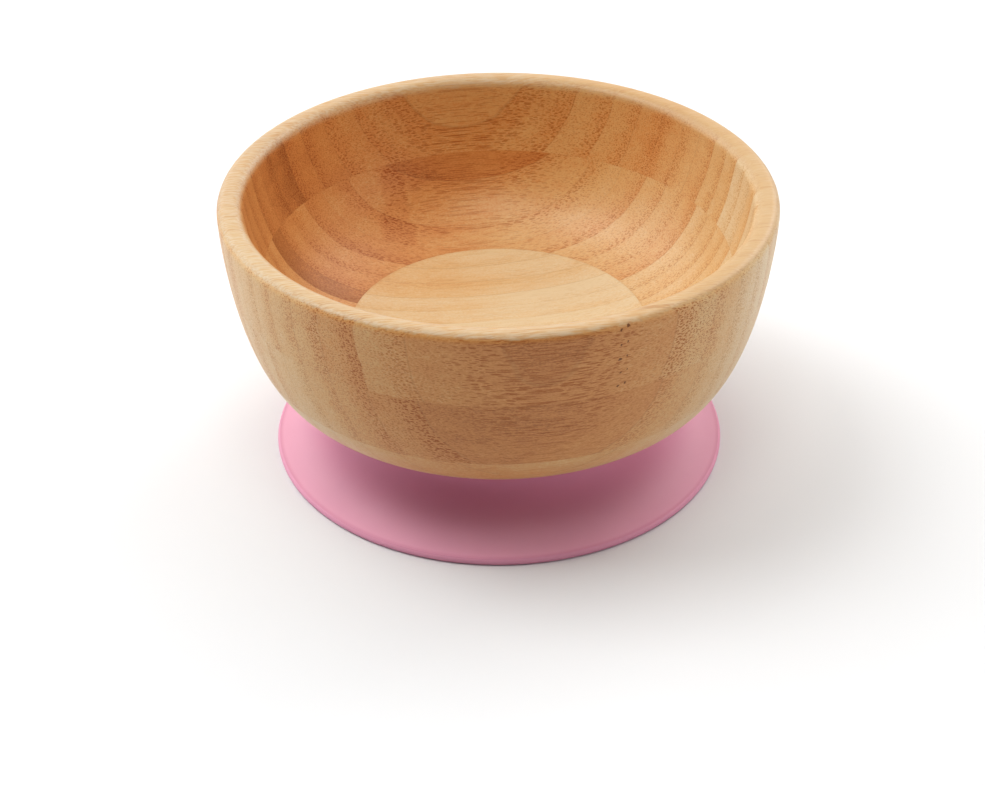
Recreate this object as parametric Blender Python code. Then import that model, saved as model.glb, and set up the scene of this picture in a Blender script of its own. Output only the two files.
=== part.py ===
"""Suction bowl for a baby. A bamboo bowl, turned from three boards glued face to face, is
gripped by its foot in a silicone base that sticks to the table. Metres, +Z up; the origin
is on the table, on the axis that everything is turned around."""

import math

import bpy
from mathutils.geometry import interpolate_bezier

MM = 0.001

# Driving dimensions of the bamboo bowl
RIM_RADIUS = 63.6 * MM
RIM_HEIGHT = 66.3 * MM
GLUE_LINES = (30.5 * MM, 48.5 * MM)
UNDERSIDE_HEIGHT = 20.87 * MM
UNDERSIDE_RADIUS = 47.2 * MM
FLOOR_HEIGHT = 26.6 * MM
LIP_OUTER_ROUND = 2.0 * MM
LIP_INNER_ROUND = 2.7 * MM
LIP_CENTRE_RADIUS = 60.4 * MM
WALL_LEAN = math.radians(7.4)
WALL_PULL = 32.4 * MM
FLOOR_PULL = 36.9 * MM
BELLY_HEIGHT = 56.85 * MM
HEEL_RADIUS = 60.4 * MM

# The turned foot, and the groove that the silicone bead snaps into
FOOT_RADIUS = 32.0 * MM
FOOT_HEIGHT = 8.6 * MM
FOOT_CHAMFER = 0.8 * MM
GROOVE_DEPTH = 1.2 * MM
GROOVE_BOTTOM = 12.9 * MM
GROOVE_TOP = 16.5 * MM

# The silicone base
SKIRT_RADIUS = 54.0 * MM
SKIRT_EDGE = 1.8 * MM
SKIRT_TOP = 8.2 * MM
SEAL_WIDTH = 3.8 * MM
SKIRT_SHOULDER = 39.3 * MM
CHAMBER_RADIUS = 40.5 * MM
CHAMBER_EDGE_HEIGHT = 4.8 * MM
CHAMBER_HEIGHT = 5.6 * MM
COLLAR_RADIUS = 37.6 * MM
COLLAR_TOP = 20.5 * MM
COLLAR_ROUND = 1.0 * MM

GAP = 0.3 * MM  # between neighbouring pieces
SEGMENTS = 64  # round a full turn
CURVE_POINTS = 6  # along each stretch of a turned outline
ROUND_POINTS = 5  # along each small round

BAMBOO = (0.62, 0.37, 0.17, 1.0)
SILICONE = (0.84, 0.42, 0.55, 1.0)


def clear_scene():
    for obj in list(bpy.data.objects):
        bpy.data.objects.remove(obj, do_unlink=True)


def make_material(name, colour, roughness):
    material = bpy.data.materials.new(name)
    material.use_nodes = True
    shader = material.node_tree.nodes["Principled BSDF"]
    shader.inputs["Base Color"].default_value = colour
    shader.inputs["Roughness"].default_value = roughness
    shader.inputs["Metallic"].default_value = 0.0
    return material


def bezier(corners, count):
    """count points (radius, height) along a cubic Bezier curve with these four corners."""
    curve = interpolate_bezier(*[(radius, height, 0.0) for radius, height in corners], count)
    return [(point[0], point[1]) for point in curve]


def arc(centre, radius, start, end, count=ROUND_POINTS):
    """count points along a round, from one angle to another, in degrees."""
    angles = [math.radians(start + (end - start) * i / (count - 1)) for i in range(count)]
    return [(centre[0] + radius * math.cos(a), centre[1] + radius * math.sin(a)) for a in angles]


def outer_corners():
    """The outside of the bowl, from the lip down to the edge of the flat underside."""
    return (
        (RIM_RADIUS, RIM_HEIGHT - LIP_OUTER_ROUND),
        (RIM_RADIUS, BELLY_HEIGHT),
        (HEEL_RADIUS, UNDERSIDE_HEIGHT),
        (UNDERSIDE_RADIUS, UNDERSIDE_HEIGHT),
    )


def inner_corners():
    """The inside of the bowl, from the middle of the floor up to the lip's inner round."""
    lip_height = RIM_HEIGHT - LIP_INNER_ROUND
    end = (
        LIP_CENTRE_RADIUS - LIP_INNER_ROUND * math.cos(WALL_LEAN),
        lip_height + LIP_INNER_ROUND * math.sin(WALL_LEAN),
    )
    return (
        (0.0, FLOOR_HEIGHT),
        (FLOOR_PULL, FLOOR_HEIGHT),
        (end[0] - WALL_PULL * math.sin(WALL_LEAN), end[1] - WALL_PULL * math.cos(WALL_LEAN)),
        end,
    )


def radius_at(corners, height):
    """The radius of a wall that rises or falls all the way, where it passes this height."""
    points = sorted(bezier(corners, 400), key=lambda point: point[1])
    for (radius_a, height_a), (radius_b, height_b) in zip(points, points[1:]):
        if height_a <= height <= height_b and height_b > height_a:
            share = (height - height_a) / (height_b - height_a)
            return radius_a + (radius_b - radius_a) * share
    return points[-1][0]


def wall(corners, start, end, count=CURVE_POINTS):
    """Points on a wall at even heights, from start to end."""
    heights = [start + (end - start) * i / (count - 1) for i in range(count)]
    return [(radius_at(corners, height), height) for height in heights]


def turn(name, outline, material, closed):
    """Turns an outline of (radius, height) points round the Z axis. A closed outline makes a
    ring. An open one starts and ends on the axis and makes a solid disc or dish."""
    mesh = bpy.data.meshes.new(name)
    points = [(radius, 0.0, height) for radius, height in outline]
    edges = [(i, i + 1) for i in range(len(points) - 1)]
    if closed:
        edges.append((len(points) - 1, 0))
    mesh.from_pydata(points, edges, [])
    obj = bpy.data.objects.new(name, mesh)
    bpy.context.scene.collection.objects.link(obj)
    screw = obj.modifiers.new("turn", "SCREW")
    screw.axis = "Z"
    screw.angle = math.tau
    screw.steps = screw.render_steps = SEGMENTS
    screw.use_merge_vertices = True
    screw.merge_threshold = 0.00001
    screw.use_smooth_shade = True
    bpy.context.view_layer.update()
    graph = bpy.context.evaluated_depsgraph_get()
    turned = bpy.data.meshes.new_from_object(obj.evaluated_get(graph), depsgraph=graph)
    obj.modifiers.clear()
    obj.data = turned
    bpy.data.meshes.remove(mesh)
    turned.name = name
    turned.materials.clear()
    turned.materials.append(material)
    turned.shade_smooth()
    turned.set_sharp_from_angle(angle=math.radians(30))
    return obj


def rim_board(material):
    """The top board: the lip and the upper wall."""
    bottom = GLUE_LINES[1] + GAP / 2
    outer_centre = (RIM_RADIUS - LIP_OUTER_ROUND, RIM_HEIGHT - LIP_OUTER_ROUND)
    inner_centre = (LIP_CENTRE_RADIUS, RIM_HEIGHT - LIP_INNER_ROUND)
    inner_lip_height = inner_corners()[-1][1]
    outline = arc(outer_centre, LIP_OUTER_ROUND, 90, 0)
    outline += wall(outer_corners(), outer_centre[1], bottom)[1:]
    outline += wall(inner_corners(), bottom, inner_lip_height)
    outline += arc(inner_centre, LIP_INNER_ROUND, 180 - math.degrees(WALL_LEAN), 90)[1:]
    return turn("rim_board", outline, material, closed=True)


def middle_board(material):
    """The middle board: a plain tapering ring of the wall."""
    bottom = GLUE_LINES[0] + GAP / 2
    top = GLUE_LINES[1] - GAP / 2
    outline = wall(outer_corners(), top, bottom) + wall(inner_corners(), bottom, top)
    return turn("middle_board", outline, material, closed=True)


def foot_outline():
    """The foot, from the underside of the bowl down to its chamfered bottom edge."""
    groove_radius = FOOT_RADIUS - GROOVE_DEPTH
    return [
        (FOOT_RADIUS, UNDERSIDE_HEIGHT),
        (FOOT_RADIUS, GROOVE_TOP),
        (groove_radius, GROOVE_TOP),
        (groove_radius, GROOVE_BOTTOM),
        (FOOT_RADIUS, GROOVE_BOTTOM),
        (FOOT_RADIUS, FOOT_HEIGHT + FOOT_CHAMFER),
        (FOOT_RADIUS - FOOT_CHAMFER, FOOT_HEIGHT),
        (0.0, FOOT_HEIGHT),
    ]


def base_board(material):
    """The bottom board: the floor of the bowl, the heel of its wall and the turned foot."""
    top = GLUE_LINES[0] - GAP / 2
    outline = [(0.0, FLOOR_HEIGHT)]
    outline += wall(inner_corners(), FLOOR_HEIGHT, top)[1:]
    outline += wall(outer_corners(), top, UNDERSIDE_HEIGHT, 2 * CURVE_POINTS)[:-1]
    outline.append((UNDERSIDE_RADIUS, UNDERSIDE_HEIGHT))
    outline += foot_outline()
    return turn("base_board", outline, material, closed=False)


def suction_skirt(material):
    """The flexible cup of the silicone base, with the flat ring that seals on the table."""
    edge_round = SKIRT_EDGE / 2
    edge_centre = (SKIRT_RADIUS - edge_round, edge_round)
    seal_radius = SKIRT_RADIUS - edge_round - SEAL_WIDTH
    top_curve = (
        (SKIRT_SHOULDER, SKIRT_TOP),
        (SKIRT_SHOULDER + 3.0 * MM, 5.6 * MM),
        (SKIRT_RADIUS - 7.0 * MM, 3.2 * MM),
        (edge_centre[0] + edge_round * 0.3, SKIRT_EDGE * 0.98),
    )
    chamber_curve = (
        (seal_radius, 0.0),
        (seal_radius - 1.0 * MM, 1.2 * MM),
        (CHAMBER_RADIUS + 4.0 * MM, 3.6 * MM),
        (CHAMBER_RADIUS, CHAMBER_EDGE_HEIGHT),
    )
    outline = [(0.0, SKIRT_TOP)] + bezier(top_curve, CURVE_POINTS)
    outline += arc(edge_centre, edge_round, 60, -90)
    outline += bezier(chamber_curve, CURVE_POINTS)
    outline.append((0.0, CHAMBER_HEIGHT))
    return turn("suction_skirt", outline, material, closed=False)


def grip_collar(material):
    """The upright wall of the silicone base, with the bead that grips the foot's groove."""
    bore = FOOT_RADIUS + GAP
    bead_radius = FOOT_RADIUS - GROOVE_DEPTH + GAP
    top_centre = (COLLAR_RADIUS - COLLAR_ROUND, COLLAR_TOP - COLLAR_ROUND)
    outline = arc(top_centre, COLLAR_ROUND, 90, 0)
    outline += [
        (COLLAR_RADIUS, SKIRT_TOP + GAP),
        (bore, SKIRT_TOP + GAP),
        (bore, GROOVE_BOTTOM + GAP),
        (bead_radius, GROOVE_BOTTOM + 2 * GAP),
        (bead_radius, GROOVE_TOP - 2 * GAP),
        (bore, GROOVE_TOP - GAP),
        (bore, COLLAR_TOP),
    ]
    return turn("grip_collar", outline, material, closed=True)


def main():
    clear_scene()
    for build in (rim_board, middle_board, base_board):
        name = build.__name__
        build(make_material(name + "_bamboo", BAMBOO, 0.5))
    for build in (suction_skirt, grip_collar):
        name = build.__name__
        build(make_material(name + "_silicone", SILICONE, 0.55))


main()
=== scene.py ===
"""The looks of the suction bowl: three boards of strip-laminated bamboo turned into a bowl, and
one silicone moulding with its skirt and its collar."""

import math

import bmesh
import bpy
from mathutils import Matrix, Vector
from mathutils.geometry import interpolate_bezier


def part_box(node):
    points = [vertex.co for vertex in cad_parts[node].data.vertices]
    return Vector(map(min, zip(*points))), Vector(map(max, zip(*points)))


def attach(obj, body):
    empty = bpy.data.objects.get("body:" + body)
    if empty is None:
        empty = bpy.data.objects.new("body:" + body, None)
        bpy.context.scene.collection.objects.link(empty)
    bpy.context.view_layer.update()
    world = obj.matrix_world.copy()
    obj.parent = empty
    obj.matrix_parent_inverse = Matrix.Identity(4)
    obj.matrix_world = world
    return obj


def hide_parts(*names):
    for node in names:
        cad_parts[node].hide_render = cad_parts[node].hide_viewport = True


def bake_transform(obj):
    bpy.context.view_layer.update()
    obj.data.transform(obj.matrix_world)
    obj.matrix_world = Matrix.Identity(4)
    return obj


MM = 0.001
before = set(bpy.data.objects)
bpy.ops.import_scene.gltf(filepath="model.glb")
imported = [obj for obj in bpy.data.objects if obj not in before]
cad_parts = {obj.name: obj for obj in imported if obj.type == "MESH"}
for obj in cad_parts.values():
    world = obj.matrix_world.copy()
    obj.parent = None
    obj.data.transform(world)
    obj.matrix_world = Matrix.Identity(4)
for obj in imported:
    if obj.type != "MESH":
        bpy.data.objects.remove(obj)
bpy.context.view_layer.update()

# ---------------------------------------------------------------- sizes, from the frame
RIM_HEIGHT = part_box("rim_board")[1].z
GLUE_HALF_GAP = (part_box("rim_board")[0].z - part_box("middle_board")[1].z) / 2
UPPER_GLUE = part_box("rim_board")[0].z - GLUE_HALF_GAP
LOWER_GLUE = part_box("middle_board")[0].z - GLUE_HALF_GAP
FOOT_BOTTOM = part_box("base_board")[0].z
SKIRT_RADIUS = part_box("suction_skirt")[1].x
SKIRT_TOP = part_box("suction_skirt")[1].z
COLLAR_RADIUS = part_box("grip_collar")[1].x
COLLAR_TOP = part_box("grip_collar")[1].z

# The turned shape of the bowl, as in the CAD
RIM_RADIUS = 63.6 * MM
UNDERSIDE_HEIGHT = 20.87 * MM
UNDERSIDE_RADIUS = 47.2 * MM
FLOOR_HEIGHT = 26.6 * MM
LIP_OUTER_ROUND = 2.0 * MM
LIP_INNER_ROUND = 2.7 * MM
LIP_CENTRE_RADIUS = 60.4 * MM
WALL_LEAN = math.radians(7.4)
WALL_PULL = 32.4 * MM
FLOOR_PULL = 36.9 * MM
BELLY_HEIGHT = 56.85 * MM
HEEL_RADIUS = 60.4 * MM
FOOT_RADIUS = 32.0 * MM
FOOT_ROUND = 0.8 * MM
GROOVE_DEPTH = 1.2 * MM
GROOVE_BOTTOM = 12.9 * MM
GROOVE_TOP = 16.5 * MM
GLUE_LINE = 0.006 * MM  # the glue left between two boards

# The silicone moulding, as in the CAD
FIT_GAP = 0.3 * MM  # between the foot and the silicone
EDGE_ROUND = 0.9 * MM
SEAL_WIDTH = 3.8 * MM
SHOULDER_HEIGHT = 4.0 * MM  # above the skirt's top, where the collar turns into the shoulder
SHOULDER_END = (COLLAR_RADIUS + 6.0 * MM, 5.15 * MM)
CHAMBER_CORNER = (40.5 * MM, 4.8 * MM)
CHAMBER_HEIGHT = 5.6 * MM
SOCKET_ROUND = 0.7 * MM

SEGMENTS = 288  # round a full turn
WALL_POINTS = 400  # on the curve of a wall, to read its radius from
WALL_STEP = 6  # the floor and the heel keep every sixth of them
SHARP_ANGLE = math.radians(40)
ON_AXIS = 1e-9  # m
BENCH_VIEW = (-1.1, -394.4, 275.2)  # the camera's place, in mm
CAMERA_TILT = 33.87  # degrees below the horizon
CAMERA_TURN = 0.067  # degrees to the left
CAMERA_ROLL = -0.35  # degrees
CAMERA_LENS = 71.57


# ---------------------------------------------------------------- turned shapes
def bezier(corners, count):
    """count points (radius, height) along a cubic Bezier curve with these four corners."""
    curve = interpolate_bezier(*[(radius, height, 0.0) for radius, height in corners], count)
    return [(point[0], point[1]) for point in curve]


def arc(centre, radius, start, end, count=9):
    """count points along a round, from one angle to another, in degrees."""
    angles = [math.radians(start + (end - start) * i / (count - 1)) for i in range(count)]
    return [(centre[0] + radius * math.cos(a), centre[1] + radius * math.sin(a)) for a in angles]


def rounded(points, radius, count=4):
    """The same open outline with a small arc in place of each inner corner."""
    out = [points[0]]
    for before, corner, after in zip(points, points[1:], points[2:]):
        here = Vector(corner)
        to_before, to_after = Vector(before) - here, Vector(after) - here
        reach = min(radius, to_before.length * 0.45, to_after.length * 0.45)
        start = here + to_before.normalized() * reach
        end = here + to_after.normalized() * reach
        for i in range(count + 1):
            t = i / count
            out.append(tuple(start * (1 - t) ** 2 + here * (2 * t * (1 - t)) + end * t * t))
    return out + [points[-1]]


OUTER_WALL = bezier(
    (
        (RIM_RADIUS, RIM_HEIGHT - LIP_OUTER_ROUND),
        (RIM_RADIUS, BELLY_HEIGHT),
        (HEEL_RADIUS, UNDERSIDE_HEIGHT),
        (UNDERSIDE_RADIUS, UNDERSIDE_HEIGHT),
    ),
    WALL_POINTS,
)
INNER_LIP = (
    LIP_CENTRE_RADIUS - LIP_INNER_ROUND * math.cos(WALL_LEAN),
    RIM_HEIGHT - LIP_INNER_ROUND + LIP_INNER_ROUND * math.sin(WALL_LEAN),
)
INNER_WALL = bezier(
    (
        (0.0, FLOOR_HEIGHT),
        (FLOOR_PULL, FLOOR_HEIGHT),
        (
            INNER_LIP[0] - WALL_PULL * math.sin(WALL_LEAN),
            INNER_LIP[1] - WALL_PULL * math.cos(WALL_LEAN),
        ),
        INNER_LIP,
    ),
    WALL_POINTS,
)


def radius_at(wall, height):
    """The radius of the outer or the inner wall at this height."""
    points = sorted(wall, key=lambda point: point[1])
    for (radius_a, height_a), (radius_b, height_b) in zip(points, points[1:]):
        if height_a <= height <= height_b and height_b > height_a:
            share = (height - height_a) / (height_b - height_a)
            return radius_a + (radius_b - radius_a) * share
    return points[-1][0]


def stretch(wall, start, end, count):
    """Points on a wall at even heights, from start to end."""
    heights = [start + (end - start) * i / (count - 1) for i in range(count)]
    return [(radius_at(wall, height), height) for height in heights]


def turn(name, outline, closed):
    """A fine mesh of this (radius, height) outline turned round the Z axis. A closed outline makes
    a ring, and an open one starts and ends on the axis."""
    mesh = bpy.data.meshes.new(name)
    shape = bmesh.new()
    rings = []
    for radius, height in outline:
        if radius < ON_AXIS:
            rings.append([shape.verts.new((0.0, 0.0, height))] * SEGMENTS)
            continue
        angles = [math.tau * i / SEGMENTS for i in range(SEGMENTS)]
        points = [(radius * math.cos(a), radius * math.sin(a), height) for a in angles]
        rings.append([shape.verts.new(point) for point in points])
    pairs = list(zip(rings, rings[1:] + rings[:1]))
    if not closed:
        pairs.pop()
    for upper, lower in pairs:
        for i in range(SEGMENTS):
            j = (i + 1) % SEGMENTS
            corners = [upper[i], lower[i], lower[j], upper[j]]
            shape.faces.new(dict.fromkeys(corners))
    shape.to_mesh(mesh)
    shape.free()
    mesh.shade_smooth()
    mesh.set_sharp_from_angle(angle=SHARP_ANGLE)
    piece = bpy.data.objects.new(name, mesh)
    bpy.context.scene.collection.objects.link(piece)
    return piece


# ---------------------------------------------------------------- the pieces
def rim_outline():
    bottom = UPPER_GLUE + GLUE_LINE / 2
    outer_centre = (RIM_RADIUS - LIP_OUTER_ROUND, RIM_HEIGHT - LIP_OUTER_ROUND)
    inner_centre = (LIP_CENTRE_RADIUS, RIM_HEIGHT - LIP_INNER_ROUND)
    outline = arc(outer_centre, LIP_OUTER_ROUND, 90, 0)
    outline += stretch(OUTER_WALL, outer_centre[1], bottom, 22)[1:]
    outline += stretch(INNER_WALL, bottom, INNER_LIP[1], 22)
    inner_start = 180 - math.degrees(WALL_LEAN)
    return outline + arc(inner_centre, LIP_INNER_ROUND, inner_start, 90)[1:]


def middle_outline():
    bottom, top = LOWER_GLUE + GLUE_LINE / 2, UPPER_GLUE - GLUE_LINE / 2
    return stretch(OUTER_WALL, top, bottom, 26) + stretch(INNER_WALL, bottom, top, 30)


def base_outline():
    top = LOWER_GLUE - GLUE_LINE / 2
    floor = [point for point in INNER_WALL if point[1] < top - GLUE_LINE][::WALL_STEP]
    heel = [point for point in OUTER_WALL if point[1] < top - GLUE_LINE][::WALL_STEP]
    groove_radius = FOOT_RADIUS - GROOVE_DEPTH
    foot = [
        (UNDERSIDE_RADIUS, UNDERSIDE_HEIGHT),
        (FOOT_RADIUS, UNDERSIDE_HEIGHT),
        (FOOT_RADIUS, GROOVE_TOP),
        (groove_radius, GROOVE_TOP),
        (groove_radius, GROOVE_BOTTOM),
        (FOOT_RADIUS, GROOVE_BOTTOM),
        (FOOT_RADIUS, FOOT_BOTTOM),
        (0.0, FOOT_BOTTOM),
    ]
    edges = [(radius_at(wall, top), top) for wall in (INNER_WALL, OUTER_WALL)]
    return floor + edges + heel + rounded(foot, FOOT_ROUND)


def socket_outline():
    """The inside of the collar, with the bead that grips the foot's groove, and its outer wall."""
    bore = FOOT_RADIUS + FIT_GAP
    bead = FOOT_RADIUS - GROOVE_DEPTH + FIT_GAP
    corners = [
        (0.0, SKIRT_TOP),
        (bore, SKIRT_TOP),
        (bore, GROOVE_BOTTOM + FIT_GAP),
        (bead, GROOVE_BOTTOM + 2 * FIT_GAP),
        (bead, GROOVE_TOP - 2 * FIT_GAP),
        (bore, GROOVE_TOP - FIT_GAP),
        (bore, COLLAR_TOP),
        (COLLAR_RADIUS, COLLAR_TOP),
        (COLLAR_RADIUS, SKIRT_TOP + SHOULDER_HEIGHT),
    ]
    return rounded(corners, SOCKET_ROUND)


def silicone_outline():
    """One moulding: the socket for the foot, the collar, shoulder, skirt and chamber."""
    edge_centre = (SKIRT_RADIUS - EDGE_ROUND, EDGE_ROUND)
    seal_radius = edge_centre[0] - SEAL_WIDTH
    shoulder = bezier(
        (
            (COLLAR_RADIUS, SKIRT_TOP + SHOULDER_HEIGHT),
            (COLLAR_RADIUS + 0.05 * MM, SKIRT_TOP + 0.6 * MM),
            (COLLAR_RADIUS + 3.2 * MM, 6.6 * MM),
            SHOULDER_END,
        ),
        14,
    )
    skirt = bezier(
        (
            SHOULDER_END,
            (COLLAR_RADIUS + 9.0 * MM, 3.6 * MM),
            (SKIRT_RADIUS - 4.5 * MM, 2.3 * MM),
            (edge_centre[0] + EDGE_ROUND * 0.42, 2 * EDGE_ROUND * 0.955),
        ),
        14,
    )
    chamber_side = bezier(
        (
            (seal_radius, 0.0),
            (seal_radius - 1.0 * MM, 1.2 * MM),
            (44.5 * MM, 3.6 * MM),
            CHAMBER_CORNER,
        ),
        14,
    )
    chamber_top = bezier(
        (
            CHAMBER_CORNER,
            (37.0 * MM, 5.5 * MM),
            (20.0 * MM, CHAMBER_HEIGHT),
            (0.0, CHAMBER_HEIGHT),
        ),
        10,
    )
    outline = socket_outline() + shoulder[1:] + skirt[1:]
    outline += arc(edge_centre, EDGE_ROUND, 65, -90, 12)
    return outline + chamber_side + chamber_top[1:]


# ---------------------------------------------------------------- node helpers
def node(tree, kind, inputs=None, **settings):
    """A new node with these settings, its sockets set to values or linked to other sockets."""
    made = tree.nodes.new(kind)
    for name, value in settings.items():
        setattr(made, name, value)
    for key, value in (inputs or {}).items():
        if isinstance(value, bpy.types.NodeSocket):
            tree.links.new(value, made.inputs[key])
        else:
            made.inputs[key].default_value = value
    return made


def maths(tree, operation, *values, clamp=False):
    """A sum of the kind that the operation names, of these values."""
    inputs = dict(enumerate(values))
    return node(tree, "ShaderNodeMath", inputs, operation=operation, use_clamp=clamp).outputs[0]


def step(tree, value, low, high, to_low=0.0, to_high=1.0):
    """A smooth step from to_low, where value is low, to to_high, where it is high."""
    inputs = {
        "Value": value,
        "From Min": low,
        "From Max": high,
        "To Min": to_low,
        "To Max": to_high,
    }
    return node(tree, "ShaderNodeMapRange", inputs, interpolation_type="SMOOTHSTEP").outputs[0]


def varied(tree, value, pattern, amount):
    """The value, lower or higher by up to half of this amount as the pattern runs from 0 to 1."""
    change = maths(tree, "MULTIPLY_ADD", pattern, amount, -amount / 2)
    return maths(tree, "ADD", value, change)


def xyz(tree, place):
    """The three parts of a place."""
    return node(tree, "ShaderNodeSeparateXYZ", {"Vector": place}).outputs


def vector(tree, x, y, z):
    return node(tree, "ShaderNodeCombineXYZ", {"X": x, "Y": y, "Z": z}).outputs[0]


def length(tree, first, second):
    """The length of the hypotenuse over these two."""
    squares = [maths(tree, "MULTIPLY", value, value) for value in (first, second)]
    return maths(tree, "SQRT", maths(tree, "ADD", *squares))


def noise(tree, place, scale, detail=2.0, roughness=0.5):
    inputs = {"Vector": place, "Scale": scale, "Detail": detail, "Roughness": roughness}
    return node(tree, "ShaderNodeTexNoise", inputs).outputs[0]


def mix(tree, share, first, second, blend="MIX"):
    """The first colour with this share of the second one mixed in."""
    made = node(tree, "ShaderNodeMix", data_type="RGBA", blend_type=blend)
    for key, value in ((0, share), (6, first), (7, second)):
        if isinstance(value, bpy.types.NodeSocket):
            tree.links.new(value, made.inputs[key])
        else:
            made.inputs[key].default_value = value
    return made.outputs[2]


def ramp(tree, value, stops, interpolation="LINEAR"):
    """The colour at this value between stops given as (position, colour), the first one at 0."""
    made = node(tree, "ShaderNodeValToRGB", {"Fac": value})
    band = made.color_ramp
    band.interpolation = interpolation
    for position, _ in stops[1:-1]:
        band.elements.new(position)
    band.elements[-1].position = stops[-1][0]
    for point, (_, colour) in zip(band.elements, stops):
        point.color = colour
    return made.outputs[0]


def new_material(name, **values):
    """A new material, its node tree and its shader, with these values on the shader's sockets."""
    material = bpy.data.materials.new(name)
    material.use_nodes = True
    shader = material.node_tree.nodes["Principled BSDF"]
    for key, value in values.items():
        shader.inputs[key.replace("_", " ")].default_value = value
    return material, material.node_tree, shader


# ---------------------------------------------------------------- bamboo
FIBRE_TURN = math.radians(8.8)  # the strips run this far round from the X axis
STRIP_WANDER = 1.0  # mm that a seam wanders
LEAN_REACH = 20.0  # mm either side of the middle, over which the strips' lean comes in
FRONT_LEAN = -0.03
LAST_STRIPS = (43.0, 50.0)  # mm across, over which the lean of the last strips comes in
LAST_LEAN = -0.3
FIBRE_WANDER = (1.6, 0.3)  # mm that the fibres wander across and up

# Noise that is drawn out along the fibres: scale along them, and across them
SEAM_WAVE = (0.03, 0.1)
FIBRE_WAVE = (0.08, 0.1)
BUNDLE_BREAKS = (0.35, 1.8)

# The same, as scale along the fibres, and the noise's own scale, detail and roughness
CLOUD = (0.35, 0.22, 3.0, 0.6)
FIBRES = (0.16, 1.7, 4.0, 0.7)
PORES = (0.4, 4.2, 1.0, 0.5)
STREAKS = (0.1, 2.4, 3.0, 0.6)

TONES = (  # from the palest bamboo to the darkest
    (0.0, (0.65, 0.51, 0.32, 1.0)),
    (0.35, (0.62, 0.40, 0.19, 1.0)),
    (0.65, (0.57, 0.28, 0.10, 1.0)),
    (0.85, (0.50, 0.215, 0.07, 1.0)),
    (1.0, (0.38, 0.155, 0.048, 1.0)),
)
CLOUD_TONES = 0.3  # how far the mottling moves the tone, and so on
FIBRE_TONES = 0.36
PORE_TONES = 0.5
DENSE_TONE = 0.11
OPEN_TONE = -0.045  # on the side with few bundles
TONE_TURN = 16.0  # mm either side of the middle, where the left tone gives way to the right
STRETCH_FADE = 0.25  # of a stretch's half length
DENSE_REACH = 0.75  # how much of a strip's width its dense side reaches over
SECOND_DENSE_SIDE = (0.25, 0.9)  # of the width, over which a second one comes in
FLIPPED = 0.8  # strips whose chance is over this have their dense side at the upper seam
WARMTH = (1.1, 1.0, 0.86, 1.0)  # the back of the block is a little redder
WARM_BACK = (5.0, 50.0)  # mm across, over which that comes in

BUNDLE = (0.66, 0.435, 0.245, 1.0)  # what a fibre bundle leaves of the colour round it
BUNDLE_PITCH = 0.43  # mm
BUNDLE_RADIUS = 0.3  # of the pitch
BUNDLE_GROWTH = 0.09  # of the pitch, on the dense side
BUNDLE_SOFTNESS = 0.17
BUNDLE_SCATTER = 0.9
BUNDLE_LEAST = 0.55  # of the radius, for the smallest bundle, and what the largest one has more
BUNDLE_MORE = 0.7
BUNDLE_CROWDING = (0.1, 0.95, 0.7, 1.15)  # strength by density: from, to, at low, at high
BUNDLE_GAPS = (0.3, 0.6, 0.2, 1.0)  # strength by the noise that breaks them
BUNDLE_WEAR_AND_SHEEN = -0.7  # how much of them the pale lip loses, where it is worn and painted with sheen

LIP_COLOUR = (0.53, 0.41, 0.265, 1.0)  # the lip is painted pale: partly wear, partly a painted sheen
LIP_STREAK = (0.49, 0.305, 0.138, 1.0)
LIP_EDGE = (0.56, 0.33, 0.12, 1.0)
LIP_SHARE = 0.85
LIP_RAGGED = 1.6  # mm that the fibres move the pale lip's edge up and down
LIP_RUN = (-30.0, 50.0)  # mm across, over which the front's pale band (wear and painted sheen) turns into the back's
PALE_LIP_FRONT = 1.25  # mm below the rim's top, where the pale lip (wear and painted sheen) starts
PALE_LIP_BACK = 3.0
PALE_LIP_FULL = 0.3
STREAKS_SHOW = (0.4, 0.65)
STREAKED_RIGHT = (0.0, 45.0, 0.0, 0.75)  # streaks added by mm along: from, to, at low, at high
GOLDEN_EDGE = (0.15, 0.85)  # how far the lip is paled, from all of the golden edge to none
GOLDEN_OUTSIDE = (59.0, 62.0, 0.25, 1.0)  # its strength by mm from the axis

SEAM = (0.3, 0.13, 0.045, 1.0)
SEAM_SHARE = 0.04  # the faintest seam, and how much more the clearest one has
SEAM_MORE = 0.22
SEAM_FADE = (0.008, 0.03)  # of a strip's width
GLUE_SHARE = 0.06
GLUE_FADE = (0.05, 0.18)  # mm
RELIEF_DEPTH = 0.05 * MM

PIT_COLUMNS = (15.4, 16.9)  # mm along the fibres
PIT_PITCH = 3.6  # mm
PIT_RADIUS = 0.34  # mm
PIT_SCATTER = 3.0  # mm
PIT_SLANT = 0.35
PIT_SHARE = 0.95
PIT_FRONT = (-59.5, -58.5)  # mm across, over which they end
PIT_SIZES = (0.35, 0.65, 1.5, 0.9)  # by noise, the distance from a pit; over 1 is a smaller pit
PIT = (0.17, 0.06, 0.016, 1.0)

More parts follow.
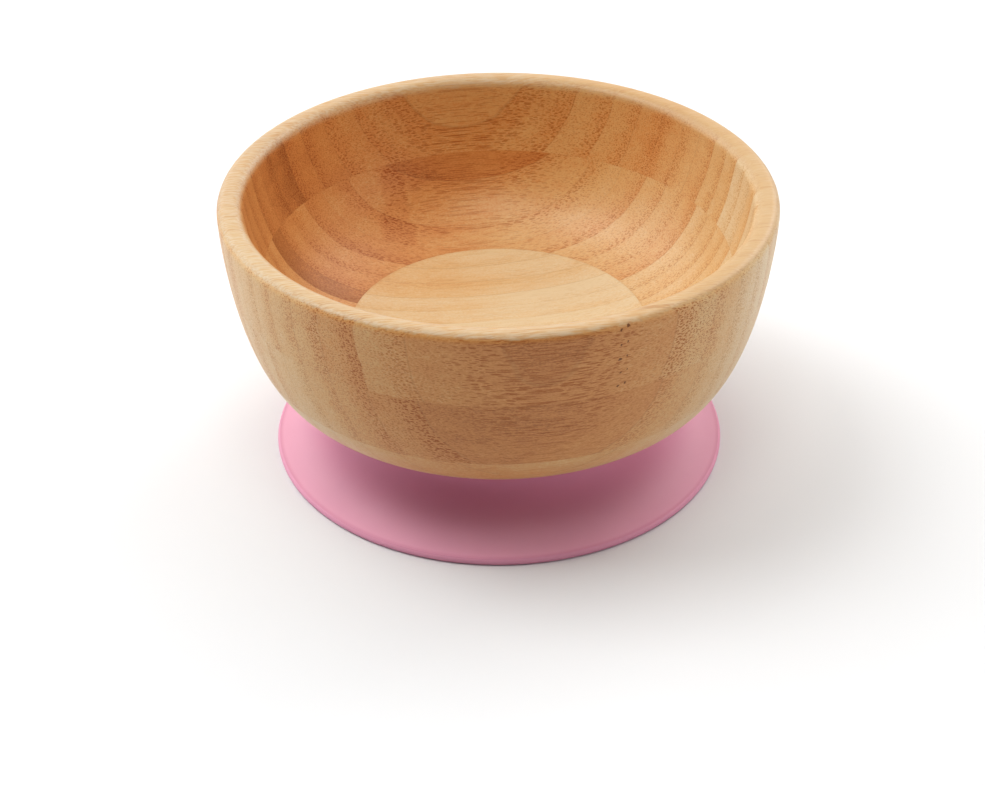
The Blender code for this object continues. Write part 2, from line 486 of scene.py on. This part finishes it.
# For each board: where its strips lie, as seam = start + rate * y + curve * y * y with y in mm;
# how far the strips lean towards the back; how strong its bundles are; the number of its front
# strip, and the tone of each strip from there to the back, at its left and its right end; stretches
# of strip that stand out, as (strip, middle along the fibres in mm, half length in mm, darker by,
# stronger bundles by); and a strip that is dense on both sides, if there is one.
BOARDS = {
    "rim_board": {
        "seams": (-2.19, 0.17748, 0.00009),
        "lean": 0.0,
        "bundles": 0.72,
        "seed": 3.7,
        "front": -14,
        "left": (
            0.8, 0.71, 0.56, 0.64, 0.5, 0.43, 0.41, 0.37, 0.37, 0.37, 0.49, 0.58, 0.77,
            0.79, 0.78, 0.84, 0.9, 0.97, 0.8, 0.76, 0.65, 0.57, 0.55, 0.6,
        ),
        "right": (
            0.8, 0.68, 0.4, 0.41, 0.24, 0.15, 0.22, 0.2, 0.2, 0.06, 0.32, 0.12, 0.12,
            0.37, 0.39, 0.47, 0.44, 0.56, 0.55, 0.47, 0.46, 0.47, 0.5, 0.6,
        ),
        "stretches": (
            (-11, -32, 20, 0.0, 0.35),
            (-10, -32, 24, 0.0, 0.25),
            (-12, 36, 18, 0.05, 0.7),
            (-14, 0, 40, 0.0, -0.2),
            (3, -48, 12, 0.0, 0.2),
        ),
        "dense_both_sides": 7,
    },
    "middle_board": {
        "seams": (-1.007, 0.17938, 0.000038),
        "lean": 0.16,
        "bundles": 0.62,
        "seed": 11.3,
        "front": -13,
        "left": (
            0.82, 0.86, 0.71, 0.6, 0.49, 0.36, 0.38, 0.36, 0.34, 0.4, 0.5, 0.6, 0.7,
            0.74, 0.68, 1.0, 0.74, 0.66, 0.72, 0.65, 0.64, 0.84, 0.7,
        ),
        "right": (
            0.76, 0.76, 0.53, 0.37, 0.25, 0.23, 0.28, 0.2, 0.15, 0.15, 0.15, 0.35, 0.36,
            0.37, 0.31, 0.49, 0.39, 0.37, 0.44, 0.37, 0.45, 0.72, 0.7,
        ),
        "stretches": (
            (-11, -30, 22, 0.0, 0.45),
            (-10, -30, 22, 0.0, 0.2),
            (6, -19, 4, 0.15, 0.4),
            (7, -19, 3, 0.1, 0.4),
        ),
        "dense_both_sides": None,
    },
    "base_board": {
        "seams": (-3.25, 0.1786, 0.0),
        "lean": 0.0,
        "bundles": 0.2,
        "seed": 27.9,
        "front": -14,
        "left": (
            0.58, 0.59, 0.44, 0.29, 0.17, 0.15, 0.15, 0.15, 0.15, 0.15, 0.1, 0.05, 0.19,
            0.21, 0.34, 0.3, 0.26, 0.3,
        ),
        "right": (
            0.42, 0.42, 0.24, 0.2, 0.15, 0.15, 0.15, 0.15, 0.15, 0.15, 0.1, 0.06, 0.08,
            0.0, 0.17, 0.1, 0.04, 0.2,
        ),
        "stretches": (),
        "dense_both_sides": None,
    },
}


def drawn_out(tree, place, lengthwise, crosswise=1.0):
    """A place (along, across, height) scaled for a pattern that is drawn out along the fibres."""
    scales = (lengthwise, crosswise, crosswise)
    scaled = [maths(tree, "MULTIPLY", value, scale) for value, scale in zip(place, scales)]
    return vector(tree, *scaled)


def streaky(tree, place, lengthwise, *pattern):
    """Noise that is drawn out along the fibres."""
    return noise(tree, drawn_out(tree, place, lengthwise), *pattern)


def strip_coordinates(tree, board):
    """Place along the fibres, across the strips and up, in mm, with the strips leaning a little."""
    place = node(tree, "ShaderNodeTexCoord").outputs["Object"]
    in_mm = (1 / MM, 1 / MM, 1 / MM)
    turn_back = {"Vector": place, "Rotation": (0, 0, -FIBRE_TURN), "Scale": in_mm}
    split = xyz(tree, node(tree, "ShaderNodeMapping", turn_back).outputs[0])
    along, across, height = split[0], split[1], split[2]
    if board["lean"]:
        lean = step(tree, across, -LEAN_REACH, LEAN_REACH, FRONT_LEAN, board["lean"])
        lean = maths(tree, "ADD", lean, step(tree, across, *LAST_STRIPS, 0.0, LAST_LEAN))
        rise = maths(tree, "SUBTRACT", height, UPPER_GLUE / MM)
        across = maths(tree, "SUBTRACT", across, maths(tree, "MULTIPLY", lean, rise))
    return along, across, height


def strips_at(tree, board, place):
    """The number of the strip, the share of the way across it, and three chances of its own."""
    start, rate, curve = board["seams"]
    wave = noise(tree, drawn_out(tree, place, *SEAM_WAVE), 1.0)
    seam_place = varied(tree, place[1], wave, STRIP_WANDER)
    square = maths(tree, "MULTIPLY", maths(tree, "MULTIPLY", seam_place, seam_place), curve)
    count = maths(tree, "ADD", maths(tree, "MULTIPLY_ADD", seam_place, rate, start), square)
    strip = maths(tree, "FLOOR", count)
    chance = node(
        tree,
        "ShaderNodeTexWhiteNoise",
        {"W": maths(tree, "ADD", strip, board["seed"])},
        noise_dimensions="1D",
    )
    chances = node(tree, "ShaderNodeSeparateColor", {"Color": chance.outputs["Color"]}).outputs
    return strip, maths(tree, "FRACT", count), chances


def wander(tree, place):
    """The same place for the fibres, which never run quite straight."""
    along, across, height = place
    slow = drawn_out(tree, place, *FIBRE_WAVE)
    made = node(tree, "ShaderNodeTexNoise", {"Vector": slow, "Scale": 1.0, "Detail": 1.0})
    drift = node(tree, "ShaderNodeSeparateColor", {"Color": made.outputs["Color"]}).outputs
    across = varied(tree, across, drift[0], FIBRE_WANDER[0])
    height = varied(tree, height, drift[1], FIBRE_WANDER[1])
    return along, across, height


def strip_tone(tree, board, strip, along):
    """Each strip's own tone, from its left end to its right end."""
    count = len(board["left"])
    place = maths(tree, "DIVIDE", maths(tree, "SUBTRACT", strip, board["front"] - 0.5), count)
    ends = enumerate(zip(board["left"], board["right"]))
    stops = [(i / count, (left, right, 0.0, 1.0)) for i, (left, right) in ends]
    tones = node(
        tree,
        "ShaderNodeSeparateColor",
        {"Color": ramp(tree, place, stops, "CONSTANT")},
    ).outputs
    difference = maths(tree, "SUBTRACT", tones[1], tones[0])
    to_right = step(tree, along, -TONE_TURN, TONE_TURN)
    return maths(tree, "MULTIPLY_ADD", difference, to_right, tones[0])


def tone_and_strength(tree, board, strip, along):
    """The strip's tone and the strength of its bundles, with the stretches that stand out."""
    tone = strip_tone(tree, board, strip, along)
    strength = board["bundles"]
    for number, middle, half_length, darker, stronger in board["stretches"]:
        this_strip = maths(tree, "COMPARE", strip, float(number), 0.1)
        away = maths(tree, "ABSOLUTE", maths(tree, "SUBTRACT", along, float(middle)))
        fade = half_length * STRETCH_FADE
        here = step(tree, away, half_length - fade, half_length + fade, 1.0, 0.0)
        here = maths(tree, "MULTIPLY", this_strip, here)
        tone = maths(tree, "MULTIPLY_ADD", here, darker, tone)
        strength = maths(tree, "MULTIPLY_ADD", here, stronger, strength)
    return tone, strength


def density(tree, board, strip, share, chance):
    """How crowded the bundles are: most strips have their dense side at the lower seam."""
    flipped = maths(tree, "GREATER_THAN", chance, FLIPPED)
    from_dense = maths(tree, "ABSOLUTE", maths(tree, "SUBTRACT", flipped, share))
    dense = step(tree, from_dense, 0.0, DENSE_REACH, 1.0, 0.0)
    if board["dense_both_sides"] is None:
        return dense
    both = maths(tree, "COMPARE", strip, float(board["dense_both_sides"]), 0.1)
    dense_too = maths(tree, "MULTIPLY", both, step(tree, share, *SECOND_DENSE_SIDE))
    return maths(tree, "MAXIMUM", dense, dense_too)


def pale_lip_wear_and_sheen(tree, place, fibre_place, fibres, colour):
    """The colour with the lip painted pale, partly for wear and partly as a painted sheen, and
    streaked; and how pale it is at this place.
    """
    along, across, height = place
    rim = RIM_HEIGHT / MM
    pale_height = varied(tree, height, fibres, LIP_RAGGED)
    pale_from = step(tree, across, *LIP_RUN, rim - PALE_LIP_FRONT, rim - PALE_LIP_BACK)
    lip_wear_and_sheen = step(tree, pale_height, pale_from, rim - PALE_LIP_FULL)
    streaks = step(tree, streaky(tree, fibre_place, *STREAKS), *STREAKS_SHOW)
    to_right = step(tree, along, *STREAKED_RIGHT)
    streaks = maths(tree, "ADD", streaks, to_right, clamp=True)
    lip = mix(tree, streaks, LIP_COLOUR, LIP_STREAK)
    golden = step(tree, lip_wear_and_sheen, *GOLDEN_EDGE, 1.0, 0.0)
    outside = step(tree, length(tree, along, across), *GOLDEN_OUTSIDE)
    lip = mix(tree, maths(tree, "MULTIPLY", golden, outside), lip, LIP_EDGE)
    return mix(tree, maths(tree, "MULTIPLY", lip_wear_and_sheen, LIP_SHARE), colour, lip), lip_wear_and_sheen


def bundles_of(tree, fibre_place, dense):
    """Dots where fibre bundles are cut across, which run on along the fibres with breaks."""
    radius = maths(tree, "MULTIPLY_ADD", dense, BUNDLE_GROWTH, BUNDLE_RADIUS)
    cell = vector(
        tree,
        maths(tree, "DIVIDE", fibre_place[1], BUNDLE_PITCH),
        maths(tree, "DIVIDE", fibre_place[2], BUNDLE_PITCH),
        0.0,
    )
    inputs = {"Vector": cell, "Scale": 1.0, "Randomness": BUNDLE_SCATTER}
    cells = node(tree, "ShaderNodeTexVoronoi", inputs, voronoi_dimensions="2D")
    size = node(tree, "ShaderNodeSeparateColor", {"Color": cells.outputs["Color"]}).outputs[0]
    size = maths(tree, "MULTIPLY_ADD", size, BUNDLE_MORE, BUNDLE_LEAST)
    reach = maths(tree, "MULTIPLY", size, radius)
    near = maths(tree, "DIVIDE", cells.outputs["Distance"], reach)
    dots = step(tree, near, 1.0 - BUNDLE_SOFTNESS, 1.0 + BUNDLE_SOFTNESS, 1.0, 0.0)
    broken = noise(tree, drawn_out(tree, fibre_place, *BUNDLE_BREAKS), 1.0, 1.0)
    return maths(tree, "MULTIPLY", dots, step(tree, broken, *BUNDLE_GAPS))


def pits_of(tree, place):
    """Two columns of large vessels that end at the surface, near the front of the rim board."""
    along, across, height = place
    scatter = noise(tree, vector(tree, along, 0.0, height), 0.45)
    along = varied(tree, along, scatter, PIT_SCATTER)
    first, second = [
        maths(tree, "ABSOLUTE", maths(tree, "SUBTRACT", along, column)) for column in PIT_COLUMNS
    ]
    sideways = maths(tree, "MINIMUM", first, second)
    slant = maths(tree, "MULTIPLY", along, PIT_SLANT)
    rise = maths(tree, "DIVIDE", maths(tree, "SUBTRACT", height, slant), PIT_PITCH)
    from_middle = maths(tree, "SUBTRACT", maths(tree, "FRACT", rise), 0.5)
    far = length(tree, sideways, maths(tree, "MULTIPLY", from_middle, PIT_PITCH))
    size = noise(tree, vector(tree, along, 7.0, height), 0.5)
    far = maths(tree, "MULTIPLY", far, step(tree, size, *PIT_SIZES))
    pits = step(tree, far, PIT_RADIUS * 0.6, PIT_RADIUS * 1.2, 1.0, 0.0)
    at_front = step(tree, across, *PIT_FRONT, PIT_SHARE, 0.0)
    return maths(tree, "MULTIPLY", pits, at_front)


def glue_lines(tree, height):
    """The glue lines between the boards."""
    glue = 0.0
    for line in (UPPER_GLUE, LOWER_GLUE):
        off = maths(tree, "ABSOLUTE", maths(tree, "SUBTRACT", height, line / MM))
        glue = maths(tree, "MAXIMUM", glue, step(tree, off, *GLUE_FADE, GLUE_SHARE, 0.0))
    return glue


def seams_of(tree, share, chance, lip_wear_and_sheen):
    """The seams between the strips, some clearer than others, and faded where the lip is painted
    pale for wear and sheen.
    """
    to_seam = maths(tree, "MINIMUM", share, maths(tree, "SUBTRACT", 1.0, share))
    seam = step(tree, to_seam, *SEAM_FADE, 1.0, 0.0)
    seam = maths(tree, "MULTIPLY", seam, maths(tree, "MULTIPLY_ADD", chance, SEAM_MORE, SEAM_SHARE))
    return maths(tree, "MULTIPLY", seam, maths(tree, "SUBTRACT", 1.0, lip_wear_and_sheen))


def bamboo(name, board):
    """Solid bamboo of one board: strips on edge, each with its own tone and its own dense side,
    where the fibre bundles crowd together. Cut across the fibres they show as dots, and cut
    along them as dashes."""
    material, tree, shader = new_material(
        name,
        Roughness=0.42,
        Specular_IOR_Level=0.35,
        Coat_Weight=0.2,
        Coat_Roughness=0.32,
    )
    place = strip_coordinates(tree, board)
    along, across, height = place
    strip, share, chances = strips_at(tree, board, place)
    tone, strength = tone_and_strength(tree, board, strip, along)
    dense = density(tree, board, strip, share, chances[1])
    tone = maths(tree, "ADD", tone, maths(tree, "MULTIPLY_ADD", dense, DENSE_TONE, OPEN_TONE))

    # cloudy mottling, fine fibres and pores
    fibre_place = wander(tree, place)
    cloud = streaky(tree, place, *CLOUD)
    fibres = streaky(tree, fibre_place, *FIBRES)
    pores = streaky(tree, fibre_place, *PORES)
    tone = varied(tree, tone, cloud, CLOUD_TONES)
    tone = varied(tree, tone, fibres, FIBRE_TONES)
    tone = varied(tree, tone, pores, PORE_TONES)
    colour = ramp(tree, tone, TONES)
    warmer = mix(tree, 1.0, colour, WARMTH, "MULTIPLY")
    colour = mix(tree, step(tree, across, *WARM_BACK), colour, warmer)
    # the lip painted pale: partly wear, partly a painted sheen; the bundles fade there too
    colour, lip_wear_and_sheen = pale_lip_wear_and_sheen(tree, place, fibre_place, fibres, colour)

    # fibre bundles, crowded and large on the dense side, small and faint on the other
    strength = maths(tree, "MULTIPLY", strength, step(tree, dense, *BUNDLE_CROWDING))
    left_by_wear_and_sheen = maths(tree, "MULTIPLY_ADD", lip_wear_and_sheen, BUNDLE_WEAR_AND_SHEEN, 1.0)
    strength = maths(tree, "MULTIPLY", strength, left_by_wear_and_sheen)
    bundles = maths(tree, "MULTIPLY", bundles_of(tree, fibre_place, dense), strength)
    colour = mix(tree, bundles, colour, mix(tree, 1.0, colour, BUNDLE, "MULTIPLY"))
    if board is BOARDS["rim_board"]:
        colour = mix(tree, pits_of(tree, place), colour, PIT)

    seam = seams_of(tree, share, chances[2], lip_wear_and_sheen)
    colour = mix(tree, maths(tree, "MAXIMUM", seam, glue_lines(tree, height)), colour, SEAM)
    tree.links.new(colour, shader.inputs["Base Color"])

    rough = maths(tree, "MULTIPLY_ADD", fibres, 0.2, 0.32)
    rough = maths(tree, "MULTIPLY_ADD", bundles, 0.1, rough)
    tree.links.new(rough, shader.inputs["Roughness"])
    relief = maths(tree, "MULTIPLY_ADD", bundles, -0.5, maths(tree, "MULTIPLY", fibres, 0.6))
    relief = maths(tree, "MULTIPLY_ADD", seam, -0.6, relief)
    inputs = {"Height": relief, "Strength": 0.6, "Distance": RELIEF_DEPTH}
    bump = node(tree, "ShaderNodeBump", inputs)
    tree.links.new(bump.outputs[0], shader.inputs["Normal"])
    return material


# ---------------------------------------------------------------- silicone
SILICONE = (0.75, 0.38, 0.49, 1.0)
SILICONE_CLOUD = (0.78, 0.405, 0.515, 1.0)
SILICONE_SPECK = (0.66, 0.28, 0.4, 1.0)
UNDER_BOWL_SHADE = (0.60, 0.19, 0.32, 1.0)  # painted shade next to the collar, where the bowl's overhang shades the skirt
UNDER_BOWL_SHADE_SHARE = 0.65
UNDER_BOWL_SHADE_RUN = (COLLAR_RADIUS + 1.0 * MM, COLLAR_RADIUS + 12.0 * MM)  # over which it fades
# painted shade along the skirt's outer edge, on its rounded side
SKIRT_EDGE_SHADE = (0.68, 0.30, 0.41, 1.0)
SKIRT_EDGE_SHADE_SHARE = 0.8
SKIRT_EDGE_SHADE_RUN = (SKIRT_RADIUS - 1.6 * MM, SKIRT_RADIUS - 0.5 * MM)
GRAIN_DEPTH = 0.012 * MM


def silicone(name):
    """Matte moulded silicone: pink, a very fine blasted grain and faint flow marks, with painted
    shade next to the collar under the bowl and along the skirt's edge.
    """
    material, tree, shader = new_material(name, Roughness=0.5, Specular_IOR_Level=0.25)
    place = node(tree, "ShaderNodeTexCoord").outputs["Object"]
    cloud = noise(tree, place, 45.0, 3.0)
    colour = mix(tree, step(tree, cloud, 0.3, 0.7), SILICONE, SILICONE_CLOUD)
    cells = node(tree, "ShaderNodeTexVoronoi", {"Vector": place, "Scale": 420.0})
    speck = step(tree, cells.outputs["Distance"], 0.03, 0.07, 0.25, 0.0)
    colour = mix(tree, speck, colour, SILICONE_SPECK)
    split = xyz(tree, place)
    from_axis = length(tree, split[0], split[1])
    # painted shade on the skirt next to the collar, under the bowl
    under_bowl_shade = step(tree, from_axis, *UNDER_BOWL_SHADE_RUN, UNDER_BOWL_SHADE_SHARE, 0.0)
    colour = mix(tree, under_bowl_shade, colour, UNDER_BOWL_SHADE)
    # painted shade along the skirt's edge
    edge = step(tree, from_axis, *SKIRT_EDGE_SHADE_RUN, 0.0, SKIRT_EDGE_SHADE_SHARE)
    colour = mix(tree, edge, colour, SKIRT_EDGE_SHADE)
    tree.links.new(colour, shader.inputs["Base Color"])
    grain = noise(tree, place, 5200.0, 2.0, 0.6)
    rough = maths(tree, "MULTIPLY_ADD", cloud, 0.12, maths(tree, "MULTIPLY_ADD", grain, 0.08, 0.44))
    tree.links.new(rough, shader.inputs["Roughness"])
    relief = {"Height": grain, "Strength": 0.35, "Distance": GRAIN_DEPTH}
    bump = node(tree, "ShaderNodeBump", relief)
    tree.links.new(bump.outputs[0], shader.inputs["Normal"])
    return material


# ---------------------------------------------------------------- stage, light and camera
FLOOR_COLOUR = (0.74, 0.74, 0.74, 1.0)
FLOOR_HALF_SIDE = 10.0  # m
LIGHTS_AIM = Vector((0.0, 0.0, 0.03))
WHITE = (1.0, 1.0, 1.0)
COOL = (0.88, 1.0, 1.08)
TENT_FRONT = 0.07  # the tent's strength on the viewer's side
TENT_BACK = 0.95

# Name, place in m, side in m, power in W and colour of each softbox
SOFTBOXES = (
    ("high_left", (-0.6, 0.0, 1.1), 0.6, 5.0, WHITE),
    ("high_front", (0.0, -0.45, 1.25), 0.5, 2.9, WHITE),
    ("back_left", (-0.75, 0.8, 0.8), 0.8, 2.0, WHITE),
    ("back_right", (0.75, 0.8, 0.8), 0.8, 4.4, WHITE),
    ("side_left", (-1.15, 0.3, 0.6), 0.9, 4.4, COOL),
    ("side_right", (1.1, -0.5, 0.4), 0.9, 2.7, WHITE),
)


def make_floor():
    material = new_material("floor_paper", Roughness=0.9, Base_Color=FLOOR_COLOUR)[0]
    mesh = bpy.data.meshes.new("floor")
    shape = bmesh.new()
    bmesh.ops.create_grid(shape, x_segments=1, y_segments=1, size=FLOOR_HALF_SIDE)
    shape.to_mesh(mesh)
    shape.free()
    mesh.materials.append(material)
    floor = bpy.data.objects.new("floor", mesh)
    bpy.context.scene.collection.objects.link(floor)


def softbox(name, place, size, power, colour):
    data = bpy.data.lights.new(name, "AREA")
    data.shape = "SQUARE"
    data.size = size
    data.energy = power
    data.color = colour
    lamp = bpy.data.objects.new(name, data)
    lamp.location = place
    lamp.rotation_euler = (LIGHTS_AIM - Vector(place)).to_track_quat("-Z", "Y").to_euler()
    bpy.context.scene.collection.objects.link(lamp)


def light_scene():
    """A light tent that is open towards the viewer, with a few softboxes in it."""
    world = bpy.data.worlds.new("studio")
    world.use_nodes = True
    tree = world.node_tree
    background = tree.nodes["Background"]
    background.inputs["Color"].default_value = (1.0, 1.0, 1.0, 1.0)
    direction = node(tree, "ShaderNodeTexCoord").outputs["Generated"]
    strength = step(tree, xyz(tree, direction)[1], -0.5, 0.3, TENT_FRONT, TENT_BACK)
    tree.links.new(strength, background.inputs["Strength"])
    bpy.context.scene.world = world
    bpy.context.scene.view_settings.view_transform = "Standard"
    bpy.context.scene.view_settings.look = "Medium High Contrast"
    for box in SOFTBOXES:
        softbox(*box)


def make_camera():
    camera = bpy.data.objects.new("camera", bpy.data.cameras.new("camera"))
    camera.data.lens = CAMERA_LENS
    camera.location = Vector(BENCH_VIEW) * MM
    turn_left = Matrix.Rotation(math.radians(CAMERA_TURN), 3, "Z")
    tilt_down = Matrix.Rotation(math.radians(90 - CAMERA_TILT), 3, "X")
    roll = Matrix.Rotation(math.radians(CAMERA_ROLL), 3, "Z")
    camera.rotation_euler = (turn_left @ tilt_down @ roll).to_euler()
    camera.data.clip_start = 0.01
    bpy.context.scene.collection.objects.link(camera)
    bpy.context.scene.camera = camera


# ---------------------------------------------------------------- putting it together
def make_boards():
    outlines = {
        "rim_board": rim_outline,
        "middle_board": middle_outline,
        "base_board": base_outline,
    }
    for board, outline in outlines.items():
        piece = turn(board + "_wood", outline(), closed=board != "base_board")
        piece.data.materials.append(bamboo(board + "_bamboo", BOARDS[board]))
        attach(piece, "bowl")
        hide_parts(board)


def make_silicone_base():
    piece = turn("silicone_base", silicone_outline(), closed=False)
    piece.data.materials.append(silicone("soft_silicone"))
    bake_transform(piece)
    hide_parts("suction_skirt", "grip_collar")


make_camera()
light_scene()
make_floor()
make_boards()
make_silicone_base()
